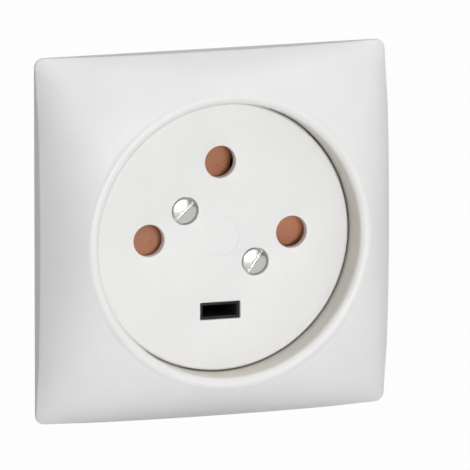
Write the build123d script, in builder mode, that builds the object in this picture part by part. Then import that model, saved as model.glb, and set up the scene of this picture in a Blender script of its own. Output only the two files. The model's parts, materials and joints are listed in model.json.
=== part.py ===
from build123d import *
from math import atan2, cos, degrees, radians, sin, sqrt
import os

# Flush wall socket for three round pins and a flat earth blade, fixed by screws to a round wall box.
# The wall is the plane Y = 0: the room is on the -Y side, the mechanism sits in the wall on the +Y side,
# +X is to the right and +Z is up. A height is measured from the wall into the room, so a height below
# zero is a depth behind the wall. All sizes are in millimetres.

# Cover plate
plate_side = 80.0
plate_corner_radius = 2.0
plate_edge_round = 0.35
plate_wall = 2.1
skirt_overhang = 1.9
waist_height = 8.0
waist_inset = 2.7
waist_side_radius = 180.0
waist_corner_radius = 15.2
skirt_side_radius = 580.0
skirt_corner_radius = 3.0
rim_split_angle = 24.0
rib_thickness = 1.2
rib_count = 8
rib_clearance = 0.35

# Well and its rounded rim
well_to_waist = 7.55
rim_round = 1.6
rim_crest_height = 13.7
rim_outer_slope = 42.0
well_wall = 1.8
ledge_side_gap = 0.4
ledge_thickness = 1.5
ledge_notch_width = 9.0

# Front disc
disc_front_height = 6.9
disc_thickness = 3.5
disc_side_gap = 0.35
disc_edge_round = 0.7
medallion_radius = 4.3
medallion_depth = 0.12

# Plug pattern
pin_circle_radius = 16.3
pin_hole_radius = 3.5
pin_guide_clearance = 0.4
earth_slot_width = 9.2
earth_slot_height = 3.8

# Face screws
face_screw_setback = 6.3
face_screw_angle = 143.13
face_screw_head_radius = 2.75
face_screw_head_height = 1.7
face_screw_dome = 0.3
face_screw_recess_depth = 2.1
face_screw_recess_clearance = 0.325
screw_slot_width = 0.8
screw_slot_depth = 0.9
upper_slot_angle = 42.0
lower_slot_angle = 55.0
m3_radius = 1.5
screw_hole_clearance = 0.1
thread_gap = 0.05
screw_tip_setback = 0.5

# Shutter
shutter_thickness = 3.0
shutter_edge_width = 1.55
shutter_face_gap = 0.1
shutter_pivot_radius = 3.0
running_gap = 0.05
shutter_travel = 28.0
shutter_window_clearance = 0.25
shutter_slot_clearance = 0.4
collar_swing_margin = 2.0
ramp_depth = 2.0
ramp_crest_offset = 1.2

# Shutter spring
spring_wire_radius = 0.25
spring_radius = 4.1
spring_turns = 3
spring_pitch = 0.56
spring_groove_clearance = 0.5
spring_leg_length = 0.85
spring_leg_clearance = 0.1

# Housings
housing_side_wall = 2.0
housing_joint_height = -4.0
housing_back_height = -26.0
housing_back_wall = 1.6
housing_back_round = 1.0
recess_side_gap = 0.4
collar_gap = 0.2
collar_drop = 0.5
collar_lip = 0.45
earth_throat_width = 5.2
earth_throat_height = 1.9
earth_throat_length = 3.6
insert_radius = 2.1
insert_gap = 0.05
insert_recess = 0.3
core_radius = 5.5
core_depth = 14.0
lug_radius = 2.8
rear_lug_length = 7.0

# Support frame
frame_side_gap = 2.4
frame_thickness = 1.2
frame_corner_cut = 7.0
frame_hole_gap = 0.3
fixing_slot_inner_wall = 1.2
fixing_slot_outer_wall = 1.0
fixing_slot_width = 4.2
countersink_radius = 2.8
countersink_angle = 90.0
countersink_wall = 0.4

# Contacts and terminals
sleeve_outer_radius = 4.9
sleeve_bore_radius = 3.45
sleeve_front_gap = 0.3
sleeve_bore_depth = 11.5
sleeve_slit_width = 0.8
sleeve_slit_depth = 9.0
sleeve_mouth_chamfer = 0.6
block_side = 9.0
block_length = 9.0
block_gap = 0.2
block_chamfer = 0.5
wire_hole_radius = 2.1
wire_hole_depth = 7.5
wire_entry_radius = 2.6
wire_entry_funnel = 0.9
cavity_radius = 6.4
spring_ring_gap = 0.05
spring_ring_thickness = 0.8
spring_ring_length = 4.0
spring_ring_opening = 1.6
spring_ring_setback = 2.0
m4_radius = 2.0
terminal_head_radius = 2.8
terminal_head_height = 1.6
terminal_access_radius = 3.1
terminal_screw_setback = 5.0

# Earth clip
clip_thickness = 0.8
clip_width = 7.0
clip_base_width = 5.6
clip_pinch_gap = 1.3
clip_mouth_gap = 3.4
clip_pinch_setback = 3.2
rivet_radius = 1.2
rivet_head_radius = 1.8
rivet_head_height = 0.6
rivet_foot_wall = 0.5

# The well and its rim follow the plate
waist_half_side = plate_side / 2 - waist_inset
well_radius = waist_half_side - well_to_waist
rim_center_radius = well_radius + rim_round
rim_foot_radius = rim_center_radius + rim_round * sin(radians(rim_outer_slope))
tube_outer_radius = well_radius + well_wall

# The housings and what they hold follow the pins, from the centre outward
window_radius = pin_hole_radius + shutter_window_clearance
shutter_radius = pin_circle_radius + window_radius + shutter_edge_width
recess_radius = shutter_radius + recess_side_gap
housing_radius = recess_radius + housing_side_wall
ledge_inner_radius = housing_radius + ledge_side_gap
frame_hole_radius = housing_radius + frame_hole_gap
lug_circle_radius = frame_hole_radius + countersink_wall + countersink_radius
m3_hole_radius = m3_radius + screw_hole_clearance
face_screw_reach = pin_circle_radius - face_screw_setback

# Lengths worked out from the sizes above
frame_side = plate_side - 2 * (plate_wall + frame_side_gap)
fixing_slot_start = frame_hole_radius + fixing_slot_inner_wall
fixing_slot_end = frame_side / 2 - fixing_slot_outer_wall
fixing_circle_radius = (fixing_slot_start + fixing_slot_end) / 2
pocket_side = block_side + 2 * block_gap
collar_half_width = earth_slot_width / 2 - collar_gap
collar_half_height = earth_slot_height / 2 - collar_gap
rivet_length = clip_thickness + block_length - wire_hole_depth - rivet_foot_wall

# Levels worked out from the sizes above
disc_back_height = disc_front_height - disc_thickness
ledge_back_height = disc_back_height - ledge_thickness
shutter_front_height = disc_back_height - shutter_face_gap
shutter_back_height = shutter_front_height - shutter_thickness
recess_floor_height = shutter_back_height - shutter_face_gap
collar_top_height = disc_front_height - collar_drop
head_seat_height = disc_front_height - face_screw_recess_depth
rim_center_height = rim_crest_height - rim_round
rim_foot_height = rim_center_height + rim_round * cos(radians(rim_outer_slope))
sleeve_front_height = housing_joint_height - sleeve_front_gap
block_back_height = housing_back_height + housing_back_wall
block_front_height = block_back_height + block_length

# Directions about the socket's axis, counted from +X toward +Z
pin_angles = {"left": 180, "top": 90, "right": 0}
earth_angle = 270
lug_angles = {"upper_right": 45, "upper_left": 135, "lower_left": 225, "lower_right": 315}


def level(height):
    """Plane parallel to the wall at a height, with X to the right, Z up and its normal into the room."""
    return Plane.XZ.offset(height)


def on_circle(radius, angle):
    """X and Z of a point on a circle about the socket's axis."""
    return radius * cos(radians(angle)), radius * sin(radians(angle))


def turning_plane(x=0.0, z=0.0):
    """Half plane for turned profiles: the first coordinate is the radius and the second the height."""
    return Plane(origin=(x, 0, z), x_dir=(1, 0, 0), z_dir=(0, 0, -1))


def turning_axis(x=0.0, z=0.0):
    """Axis square to the wall through a point of it."""
    return Axis((x, 0, z), (0, 1, 0))


def radial_plane(angle, radius, height=0.0):
    """Plane square to the radius at an angle, with its normal pointing away from the socket's axis."""
    x, z = on_circle(radius, angle)
    outward = (cos(radians(angle)), 0, sin(radians(angle)))
    return Plane(origin=(x, -height, z), x_dir=(0, 1, 0), z_dir=outward)


def draw_soft_square(half_side, side_radius, corner_radius):
    """Closed outline of four bowed sides and four corner arcs, all tangent to each other."""
    setback = side_radius - half_side
    corner = (sqrt(2 * (side_radius - corner_radius) ** 2 - setback**2) - setback) / 2
    tangent_angle = atan2(corner, corner + setback)
    end = Vector(side_radius * cos(tangent_angle) - setback, side_radius * sin(tangent_angle))
    draw_eight_arcs(end, half_side, corner * sqrt(2) + corner_radius)


def draw_split_circle(radius, split_angle):
    """Circle made of eight arcs that match the sides and corners of a soft square."""
    end = Vector(radius * cos(radians(split_angle)), radius * sin(radians(split_angle)))
    draw_eight_arcs(end, radius, radius)


def draw_eight_arcs(side_end, half_side, half_diagonal):
    """Four side arcs and four corner arcs, where side_end is the upper end of the right side."""
    side_middle = Vector(half_side, 0)
    side_start = Vector(side_end.X, -side_end.Y)
    corner_middle = Vector(half_diagonal, 0).rotate(Axis.Z, 45)
    corner_end = Vector(side_end.Y, side_end.X)
    for turn in (0, 90, 180, 270):
        points = [side_start, side_middle, side_end, corner_middle, corner_end]
        points = [point.rotate(Axis.Z, turn) for point in points]
        ThreePointArc(points[0], points[1], points[2])
        ThreePointArc(points[2], points[3], points[4])


def cut_ring_sector(inner_radius, outer_radius, start, span):
    """Cut a sector of a ring about the socket's axis out of the sketch that is being drawn."""
    with BuildLine() as outline:
        inner_arc = CenterArc((0, 0), inner_radius, start, span)
        outer_arc = CenterArc((0, 0), outer_radius, start, span)
        Line(inner_arc @ 0, outer_arc @ 0)
        Line(inner_arc @ 1, outer_arc @ 1)
    make_face(outline.line, mode=Mode.SUBTRACT)


pin_spots = [on_circle(pin_circle_radius, angle) for angle in pin_angles.values()]
earth_spot = on_circle(pin_circle_radius, earth_angle)
face_screw_spots = [on_circle(face_screw_reach, face_screw_angle + turn) for turn in (0, 180)]

# Solid block with the outside of the cover plate: a square skirt that flows up into a round rim
with BuildPart() as plate_blank:
    with BuildSketch(level(0)):
        with BuildLine():
            draw_soft_square(plate_side / 2 + skirt_overhang, skirt_side_radius, skirt_corner_radius)
        make_face()
    with BuildSketch(level(waist_height)):
        with BuildLine():
            draw_soft_square(waist_half_side, waist_side_radius, waist_corner_radius)
        make_face()
    with BuildSketch(level(rim_foot_height)):
        with BuildLine():
            draw_split_circle(rim_foot_radius, rim_split_angle)
        make_face()
    loft()
    with BuildSketch(level(0)):
        RectangleRounded(plate_side, plate_side, plate_corner_radius)
    extrude(amount=rim_crest_height, mode=Mode.INTERSECT)
    arched_edges = plate_blank.edges().filter_by(
        lambda edge: edge.length > plate_corner_radius
        and -rim_foot_height / 2 < edge.center().Y < -plate_edge_round
    )
    side_edges = arched_edges.filter_by(
        lambda edge: max(abs(edge.center().X), abs(edge.center().Z)) > plate_side / 2 - plate_corner_radius
    )
    fillet(side_edges, plate_edge_round)

# Hollow behind the plate, which follows the outside one wall thickness in
with BuildPart() as plate_hollow:
    with BuildSketch(level(0)):
        with BuildLine():
            draw_soft_square(plate_side / 2 - plate_wall, skirt_side_radius, skirt_corner_radius)
        make_face()
    with BuildSketch(level(waist_height - plate_wall)):
        with BuildLine():
            draw_soft_square(waist_half_side - plate_wall, waist_side_radius, waist_corner_radius)
        make_face()
    with BuildSketch(level(rim_foot_height - plate_wall)):
        with BuildLine():
            draw_split_circle(tube_outer_radius, rim_split_angle)
        make_face()
    loft()

# Stiffening ribs between the well and the skirt, clear of the support frame
with BuildPart() as plate_ribs:
    rib_back_height = frame_thickness + rib_clearance
    with BuildSketch(level(rib_back_height)):
        with PolarLocations(plate_side / 2 + well_radius / 2, rib_count, 180 / rib_count):
            Rectangle(plate_side - well_radius, rib_thickness)
        Circle(tube_outer_radius - well_wall / 2, mode=Mode.SUBTRACT)
    extrude(amount=rim_crest_height)
    add(plate_blank.part, mode=Mode.INTERSECT)

# Cover plate
with BuildPart() as cover_plate:
    add(plate_blank.part)
    add(plate_hollow.part, mode=Mode.SUBTRACT)
    add(plate_ribs.part)
    with BuildSketch(level(0)):
        Circle(rim_center_radius)
    extrude(amount=rim_crest_height, mode=Mode.SUBTRACT)
    with BuildSketch(turning_plane()):
        with BuildLine():
            Line((well_radius, ledge_back_height), (well_radius, rim_center_height))
            crest = (rim_center_radius, rim_crest_height)
            foot = (rim_foot_radius, rim_foot_height)
            ThreePointArc((well_radius, rim_center_height), crest, foot)
            Line(foot, (tube_outer_radius, rim_foot_height - plate_wall))
            Line((tube_outer_radius, rim_foot_height - plate_wall), (tube_outer_radius, ledge_back_height))
            Line((tube_outer_radius, ledge_back_height), (well_radius, ledge_back_height))
        make_face()
    revolve(axis=Axis.Y)
    with BuildSketch(level(ledge_back_height)):
        Circle(well_radius + well_wall / 2)
        Circle(ledge_inner_radius, mode=Mode.SUBTRACT)
    extrude(amount=ledge_thickness)
    notch_start = ledge_inner_radius - ledge_side_gap
    notch_end = tube_outer_radius + well_wall
    with BuildSketch(level(0)):
        with PolarLocations((notch_start + notch_end) / 2, 4):
            Rectangle(notch_end - notch_start, ledge_notch_width)
    extrude(amount=disc_back_height, mode=Mode.SUBTRACT)
cover_plate.part.label = "cover_plate"

# Front disc with the pin holes, the earth slot and the recessed screw seats
with BuildPart() as front_disc:
    disc_radius = well_radius - disc_side_gap
    with BuildSketch(level(disc_back_height)):
        Circle(disc_radius)
    extrude(amount=disc_thickness)
    fillet(front_disc.faces().sort_by(Axis.Y)[0].edges(), disc_edge_round)
    with BuildSketch(level(disc_front_height)):
        Circle(medallion_radius)
    extrude(amount=-medallion_depth, mode=Mode.SUBTRACT)
    with BuildSketch(level(disc_back_height)):
        with Locations(*pin_spots):
            Circle(pin_hole_radius)
        with Locations(earth_spot):
            Rectangle(earth_slot_width, earth_slot_height)
    extrude(amount=disc_thickness, mode=Mode.SUBTRACT)
    with Locations(level(disc_front_height)):
        with Locations(*face_screw_spots):
            CounterBoreHole(
                m3_hole_radius,
                face_screw_head_radius + face_screw_recess_clearance,
                face_screw_recess_depth,
            )
front_disc.part.label = "front_disc"


def make_face_screw(label, spot, slot_angle):
    """Slotted round-head screw that holds the disc and the plate to the front housing."""
    x, z = spot
    head_top = head_seat_height + face_screw_head_height
    tip_height = housing_joint_height + insert_recess
    with BuildPart() as screw:
        with BuildSketch(turning_plane(x, z)):
            with BuildLine():
                Line((0, tip_height), (m3_radius, tip_height))
                Line((m3_radius, tip_height), (m3_radius, head_seat_height))
                Line((m3_radius, head_seat_height), (face_screw_head_radius, head_seat_height))
                Line((face_screw_head_radius, head_seat_height), (face_screw_head_radius, head_top))
                dome_top = (0, head_top + face_screw_dome)
                TangentArc(dome_top, (face_screw_head_radius, head_top), tangent=(1, 0))
                Line(dome_top, (0, tip_height))
            make_face()
        revolve(axis=turning_axis(x, z))
        with BuildSketch(level(head_top + face_screw_dome)):
            with Locations((x, z)):
                Rectangle(3 * face_screw_head_radius, screw_slot_width, rotation=slot_angle)
        extrude(amount=-screw_slot_depth - face_screw_dome, mode=Mode.SUBTRACT)
        chamfer(screw.faces().sort_by(Axis.Y)[-1].edges(), m3_radius / 5)
    screw.part.label = label
    return screw.part


face_screws = [
    make_face_screw("face_screw_upper", face_screw_spots[0], upper_slot_angle),
    make_face_screw("face_screw_lower", face_screw_spots[1], lower_slot_angle),
]

# Shutter: a disc that turns about the housing's pivot, with a window beside each pin hole it covers
with BuildPart() as shutter:
    with BuildSketch(level(shutter_back_height)):
        Circle(shutter_radius)
        Circle(shutter_pivot_radius + running_gap, mode=Mode.SUBTRACT)
        for angle in pin_angles.values():
            with Locations(on_circle(pin_circle_radius, angle - shutter_travel)):
                Circle(window_radius, mode=Mode.SUBTRACT)
        slot_radius = m3_radius + shutter_slot_clearance
        for x, z in face_screw_spots:
            slot_start = degrees(atan2(z, x)) - shutter_travel
            cut_ring_sector(
                face_screw_reach - slot_radius,
                face_screw_reach + slot_radius,
                slot_start,
                shutter_travel,
            )
            with PolarLocations(face_screw_reach, 2, slot_start, shutter_travel, endpoint=True):
                Circle(slot_radius, mode=Mode.SUBTRACT)
        collar_inner = pin_circle_radius - collar_half_height
        collar_outer = sqrt((pin_circle_radius + collar_half_height) ** 2 + collar_half_width**2)
        spread = degrees(atan2(collar_half_width, collar_inner)) + collar_swing_margin
        cut_ring_sector(
            collar_inner - shutter_slot_clearance,
            collar_outer + shutter_slot_clearance,
            earth_angle - shutter_travel - spread,
            shutter_travel + 2 * spread,
        )
    extrude(amount=shutter_thickness)
    for angle in pin_angles.values():
        x, z = on_circle(pin_circle_radius, angle)
        toward_window = (sin(radians(angle)), 0, -cos(radians(angle)))
        outward = (cos(radians(angle)), 0, sin(radians(angle)))
        ramp_plane = Plane(origin=(x, 0, z), x_dir=toward_window, z_dir=outward)
        ramp_end = 2 * pin_circle_radius * sin(radians(shutter_travel / 2)) - window_radius / 2
        with BuildSketch(ramp_plane.offset(-window_radius)):
            Polygon(
                (-ramp_crest_offset, -shutter_front_height),
                (ramp_end, -shutter_front_height),
                (ramp_end, ramp_depth - shutter_front_height),
                align=None,
            )
        extrude(amount=2 * window_radius, mode=Mode.SUBTRACT)
shutter.part.label = "shutter"

# Torsion spring of the shutter, wound round the pivot, with one leg in the shutter and one in the housing
spring_bend_radius = shutter_face_gap + spring_wire_radius
spring_top_height = shutter_back_height - spring_bend_radius
spring_bottom_height = spring_top_height - spring_turns * spring_pitch
into_room = Vector(0, -1, 0)
with BuildPart() as shutter_spring:
    with BuildLine() as spring_path:
        coil = Helix(
            spring_pitch,
            spring_turns * spring_pitch,
            spring_radius,
            center=(0, -spring_bottom_height, 0),
            direction=into_room,
        )
        spring_leg_spots = []
        coil_ends = [(coil @ 0, coil % 0 * -1, into_room * -1), (coil @ 1, coil % 1, into_room)]
        for end, heading, way in coil_ends:
            turn = heading.get_angle(way)
            sideways = (way - heading * heading.dot(way)).normalized()
            bend_points = [
                end + (sideways * (1 - cos(angle)) + heading * sin(angle)) * spring_bend_radius
                for angle in (radians(turn / 2), radians(turn))
            ]
            ThreePointArc(end, *bend_points)
            Line(bend_points[1], bend_points[1] + way * spring_leg_length)
            spring_leg_spots.append((bend_points[1].X, bend_points[1].Z))
    spring_wire = spring_path.wires()[0]
    with BuildSketch(Plane(spring_wire @ 0, z_dir=spring_wire % 0)):
        Circle(spring_wire_radius)
    sweep(path=spring_wire)
shutter_spring.part.label = "shutter_spring"
spring_leg_hole = spring_wire_radius + spring_leg_clearance

with BuildPart() as drilled_shutter:
    add(shutter.part)
    with BuildSketch(level(shutter_back_height)):
        with Locations(spring_leg_spots[1]):
            Circle(spring_leg_hole)
    extrude(amount=spring_leg_length + spring_leg_clearance, mode=Mode.SUBTRACT)
drilled_shutter.part.label = "shutter"


def draw_lugs():
    """Round-ended lugs on the diagonals, for the screws that clamp the frame and the two housings."""
    with PolarLocations(lug_circle_radius / 2, len(lug_angles), 45):
        SlotOverall(lug_circle_radius + 2 * lug_radius, 2 * lug_radius)


# Front housing: carries the shutter and the earth collar, and guides the pins into the contacts
with BuildPart() as front_housing:
    with BuildSketch(level(housing_joint_height)):
        Circle(housing_radius)
    extrude(amount=disc_back_height - housing_joint_height)
    with BuildSketch(level(housing_joint_height)):
        draw_lugs()
    extrude(amount=-housing_joint_height)
    with BuildSketch(level(recess_floor_height)):
        Circle(recess_radius)
        Circle(shutter_pivot_radius, mode=Mode.SUBTRACT)
    extrude(amount=disc_back_height - recess_floor_height, mode=Mode.SUBTRACT)
    groove_reach = spring_wire_radius + spring_groove_clearance
    with BuildSketch(level(recess_floor_height)):
        Circle(spring_radius + groove_reach)
        Circle(spring_radius - groove_reach, mode=Mode.SUBTRACT)
    groove_floor_height = spring_bottom_height - spring_wire_radius - shutter_face_gap
    extrude(amount=groove_floor_height - recess_floor_height, mode=Mode.SUBTRACT)
    with BuildSketch(level(groove_floor_height)):
        with Locations(spring_leg_spots[0]):
            Circle(spring_leg_hole)
    extrude(amount=-spring_leg_length - spring_leg_clearance, mode=Mode.SUBTRACT)
    with BuildSketch(level(housing_joint_height)):
        with Locations(*pin_spots):
            Circle(pin_hole_radius + pin_guide_clearance)
    extrude(amount=recess_floor_height - housing_joint_height, mode=Mode.SUBTRACT)
    with BuildSketch(level(housing_joint_height)):
        with Locations(*face_screw_spots):
            Circle(insert_radius + insert_gap)
    extrude(amount=recess_floor_height - housing_joint_height - insert_recess, mode=Mode.SUBTRACT)
    with BuildSketch(level(recess_floor_height - insert_recess)):
        with Locations(*face_screw_spots):
            Circle(m3_hole_radius)
    extrude(amount=insert_recess, mode=Mode.SUBTRACT)
    with BuildSketch(level(recess_floor_height)):
        with Locations(earth_spot):
            Rectangle(2 * collar_half_width, 2 * collar_half_height)
    extrude(amount=collar_top_height - recess_floor_height)
    throat_height = collar_top_height - earth_throat_length
    with BuildSketch(level(collar_top_height)):
        with Locations(earth_spot):
            Rectangle(2 * (collar_half_width - collar_lip), 2 * (collar_half_height - collar_lip))
    with BuildSketch(level(throat_height)):
        with Locations(earth_spot):
            Rectangle(earth_throat_width, earth_throat_height)
    loft(mode=Mode.SUBTRACT)
    with BuildSketch(level(throat_height)):
        with Locations(earth_spot):
            Rectangle(earth_throat_width, earth_throat_height)
    extrude(amount=housing_joint_height - throat_height, mode=Mode.SUBTRACT)
    with BuildSketch(level(0)):
        with PolarLocations(lug_circle_radius, len(lug_angles), 45):
            Circle(m3_hole_radius)
    extrude(amount=housing_joint_height, mode=Mode.SUBTRACT)
front_housing.part.label = "front_housing"


def make_insert(label, spot):
    """Brass insert in the front housing that takes a face screw."""
    top_height = recess_floor_height - insert_recess
    with BuildPart() as insert:
        with BuildSketch(level(housing_joint_height)):
            with Locations(spot):
                Circle(insert_radius)
                Circle(m3_radius + thread_gap, mode=Mode.SUBTRACT)
        extrude(amount=top_height - housing_joint_height)
    insert.part.label = label
    return insert.part


inserts = [
    make_insert("screw_insert_upper", face_screw_spots[0]),
    make_insert("screw_insert_lower", face_screw_spots[1]),
]

# Rear housing: a pocket for each contact, open to the front, with its wire entry and its screwdriver access
terminal_angles = {**pin_angles, "earth": earth_angle}
terminal_screw_height = block_back_height + terminal_screw_setback
with BuildPart() as rear_housing:
    with BuildSketch(level(housing_back_height)):
        Circle(housing_radius)
    extrude(amount=housing_joint_height - housing_back_height)
    fillet(rear_housing.faces().sort_by(Axis.Y)[-1].edges(), housing_back_round)
    with BuildSketch(level(housing_joint_height)):
        draw_lugs()
    extrude(amount=-rear_lug_length)
    with BuildSketch(level(housing_joint_height)):
        with PolarLocations(lug_circle_radius, len(lug_angles), 45):
            Circle(m3_radius + thread_gap)
    extrude(amount=-rear_lug_length, mode=Mode.SUBTRACT)
    with BuildSketch(level(housing_back_height)):
        Circle(core_radius)
    extrude(amount=core_depth, mode=Mode.SUBTRACT)
    with BuildSketch(level(block_back_height)):
        with PolarLocations(pin_circle_radius, len(terminal_angles)):
            Rectangle(pocket_side, pocket_side)
    extrude(amount=block_length + block_gap, mode=Mode.SUBTRACT)
    with BuildSketch(level(block_front_height)):
        with Locations(*pin_spots):
            Circle(cavity_radius)
        with Locations(earth_spot):
            Rectangle(pocket_side, pocket_side)
    extrude(amount=housing_joint_height - block_front_height, mode=Mode.SUBTRACT)
    with Locations(level(housing_back_height)):
        with PolarLocations(pin_circle_radius, len(terminal_angles)):
            Cone(
                wire_entry_radius + wire_entry_funnel,
                wire_entry_radius,
                housing_back_wall,
                align=(Align.CENTER, Align.CENTER, Align.MIN),
                mode=Mode.SUBTRACT,
            )
    for angle in terminal_angles.values():
        with BuildSketch(radial_plane(angle, pin_circle_radius, terminal_screw_height)):
            Circle(terminal_access_radius)
        extrude(amount=housing_radius, mode=Mode.SUBTRACT)
rear_housing.part.label = "rear_housing"

# Support frame: a steel plate that the wall box screws hold, with radial slots for their usual spacing
with BuildPart() as support_frame:
    with BuildSketch(level(0)):
        Rectangle(frame_side, frame_side)
        chamfer(vertices(), frame_corner_cut)
        Circle(frame_hole_radius, mode=Mode.SUBTRACT)
        with PolarLocations(fixing_circle_radius, 4):
            SlotOverall(fixing_slot_end - fixing_slot_start, fixing_slot_width, mode=Mode.SUBTRACT)
    extrude(amount=frame_thickness)
    with Locations(level(frame_thickness)):
        with PolarLocations(lug_circle_radius, len(lug_angles), 45):
            CounterSinkHole(m3_hole_radius, countersink_radius, counter_sink_angle=countersink_angle)
support_frame.part.label = "support_frame"


def make_body_screw(label, angle):
    """Countersunk screw through the frame and both housings."""
    x, z = on_circle(lug_circle_radius, angle)
    head_top = frame_thickness - screw_hole_clearance
    head_radius = countersink_radius - 2 * screw_hole_clearance
    tip_height = housing_joint_height - rear_lug_length + screw_tip_setback
    with BuildPart() as screw:
        with BuildSketch(turning_plane(x, z)):
            Polygon(
                (0, tip_height),
                (m3_radius, tip_height),
                (m3_radius, head_top - head_radius + m3_radius),
                (head_radius, head_top),
                (0, head_top),
                align=None,
            )
        revolve(axis=turning_axis(x, z))
        with BuildSketch(level(head_top)):
            with Locations((x, z)):
                Rectangle(3 * head_radius, screw_slot_width, rotation=angle)
        extrude(amount=-screw_slot_depth, mode=Mode.SUBTRACT)
    screw.part.label = label
    return screw.part


body_screws = [make_body_screw(f"body_screw_{name}", angle) for name, angle in lug_angles.items()]


def make_terminal_block(angle):
    """Square brass block with a wire hole from the back and a screw hole from its outer side."""
    with BuildPart() as block:
        with BuildSketch(level(block_back_height)):
            with Locations(on_circle(pin_circle_radius, angle)):
                Rectangle(block_side, block_side)
        extrude(amount=block_length)
        chamfer(block.edges().filter_by(Axis.Y), block_chamfer)
        with BuildSketch(level(block_back_height)):
            with Locations(on_circle(pin_circle_radius, angle)):
                Circle(wire_hole_radius)
        extrude(amount=wire_hole_depth, mode=Mode.SUBTRACT)
        with BuildSketch(radial_plane(angle, pin_circle_radius, terminal_screw_height)):
            Circle(m4_radius + thread_gap)
        extrude(amount=block_side, mode=Mode.SUBTRACT)
    return block.part


def make_phase_contact(label, angle):
    """Turned brass contact: a split sleeve for the pin on a terminal block."""
    with BuildPart() as contact:
        add(make_terminal_block(angle))
        with BuildSketch(level(block_front_height)):
            with Locations(on_circle(pin_circle_radius, angle)):
                Circle(sleeve_outer_radius)
        extrude(amount=sleeve_front_height - block_front_height)
        with BuildSketch(level(sleeve_front_height)):
            with Locations(on_circle(pin_circle_radius, angle)):
                Circle(sleeve_bore_radius)
        extrude(amount=-sleeve_bore_depth, mode=Mode.SUBTRACT)
        chamfer(contact.faces().sort_by(Axis.Y)[0].inner_wires()[0].edges(), sleeve_mouth_chamfer)
        with BuildSketch(level(sleeve_front_height)):
            with Locations(on_circle(pin_circle_radius, angle)):
                with PolarLocations(0, 2, 45, 180):
                    Rectangle(3 * sleeve_outer_radius, sleeve_slit_width)
        extrude(amount=-sleeve_slit_depth, mode=Mode.SUBTRACT)
    contact.part.label = label
    return contact.part


phase_contacts = [make_phase_contact(f"phase_contact_{name}", angle) for name, angle in pin_angles.items()]


def make_contact_spring(label, angle):
    """Open steel ring that presses the split sleeve onto the pin."""
    x, z = on_circle(pin_circle_radius, angle)
    inner_radius = sleeve_outer_radius + spring_ring_gap
    with BuildPart() as ring:
        with BuildSketch(level(sleeve_front_height - spring_ring_setback)):
            with Locations((x, z)):
                Circle(inner_radius + spring_ring_thickness)
                Circle(inner_radius, mode=Mode.SUBTRACT)
            with Locations((x, z - inner_radius - spring_ring_thickness)):
                Rectangle(spring_ring_opening, 4 * spring_ring_thickness, mode=Mode.SUBTRACT)
        extrude(amount=-spring_ring_length)
    ring.part.label = label
    return ring.part


contact_springs = [make_contact_spring(f"contact_spring_{name}", a) for name, a in pin_angles.items()]


def make_terminal_screw(label, angle):
    """Slotted screw that clamps the wire in a terminal block."""
    seat = pin_circle_radius + block_side / 2
    with BuildPart() as screw:
        with BuildSketch(radial_plane(angle, pin_circle_radius + wire_hole_radius, terminal_screw_height)):
            Circle(m4_radius)
        extrude(amount=seat - pin_circle_radius - wire_hole_radius)
        with BuildSketch(radial_plane(angle, seat, terminal_screw_height)):
            Circle(terminal_head_radius)
        extrude(amount=terminal_head_height)
        with BuildSketch(radial_plane(angle, seat + terminal_head_height, terminal_screw_height)):
            Rectangle(3 * terminal_head_radius, screw_slot_width)
        extrude(amount=-screw_slot_depth, mode=Mode.SUBTRACT)
    screw.part.label = label
    return screw.part


terminal_screws = [make_terminal_screw(f"terminal_screw_{name}", a) for name, a in terminal_angles.items()]

# Earth terminal block with the clip riveted to its front
rivet_foot_height = block_front_height + clip_thickness - rivet_length
with BuildPart() as earth_terminal:
    add(make_terminal_block(earth_angle))
    with BuildSketch(level(block_front_height)):
        with Locations(earth_spot):
            Circle(rivet_radius + thread_gap)
    extrude(amount=rivet_foot_height - block_front_height - thread_gap, mode=Mode.SUBTRACT)
earth_terminal.part.label = "earth_terminal"

# Folded strip whose two leaves pinch the earth blade and flare out at the mouth
with BuildPart() as earth_clip:
    leaf_offset = (clip_base_width - clip_thickness) / 2
    leaf_points = [
        ((clip_mouth_gap + clip_thickness) / 2, sleeve_front_height),
        ((clip_pinch_gap + clip_thickness) / 2, sleeve_front_height - clip_pinch_setback),
        (leaf_offset, block_front_height + clip_pinch_setback),
        (leaf_offset, block_front_height + clip_thickness / 2),
    ]
    clip_side = Plane(origin=(-clip_width / 2, 0, earth_spot[1]), x_dir=(0, 0, 1), z_dir=(1, 0, 0))
    with BuildSketch(clip_side):
        with BuildLine():
            Polyline(*leaf_points, *[(-across, height) for across, height in reversed(leaf_points)])
        trace(line_width=clip_thickness)
    extrude(amount=clip_width)
    with BuildSketch(level(block_front_height)):
        with Locations(earth_spot):
            Circle(rivet_radius + thread_gap)
    extrude(amount=clip_thickness, mode=Mode.SUBTRACT)
earth_clip.part.label = "earth_clip"

with BuildPart() as earth_rivet:
    with BuildSketch(level(rivet_foot_height)):
        with Locations(earth_spot):
            Circle(rivet_radius)
    extrude(amount=rivet_length)
    with BuildSketch(level(rivet_foot_height + rivet_length)):
        with Locations(earth_spot):
            Circle(rivet_head_radius)
    extrude(amount=rivet_head_height)
    chamfer(earth_rivet.faces().sort_by(Axis.Y)[0].edges(), rivet_head_height / 2)
earth_rivet.part.label = "earth_rivet"

os.makedirs("parts", exist_ok=True)
single_pieces = [cover_plate, front_disc, drilled_shutter, shutter_spring, front_housing]
single_pieces += [rear_housing, support_frame, earth_terminal, earth_clip, earth_rivet]
pieces = [builder.part for builder in single_pieces]
pieces += face_screws + inserts + body_screws + phase_contacts + contact_springs + terminal_screws
for piece in pieces:
    export_step(piece, f"parts/{piece.label}.step")
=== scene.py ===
import json
import math

import bmesh
import bpy
from bpy.props import FloatProperty, IntProperty, PointerProperty
from mathutils import Matrix, Vector


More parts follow.
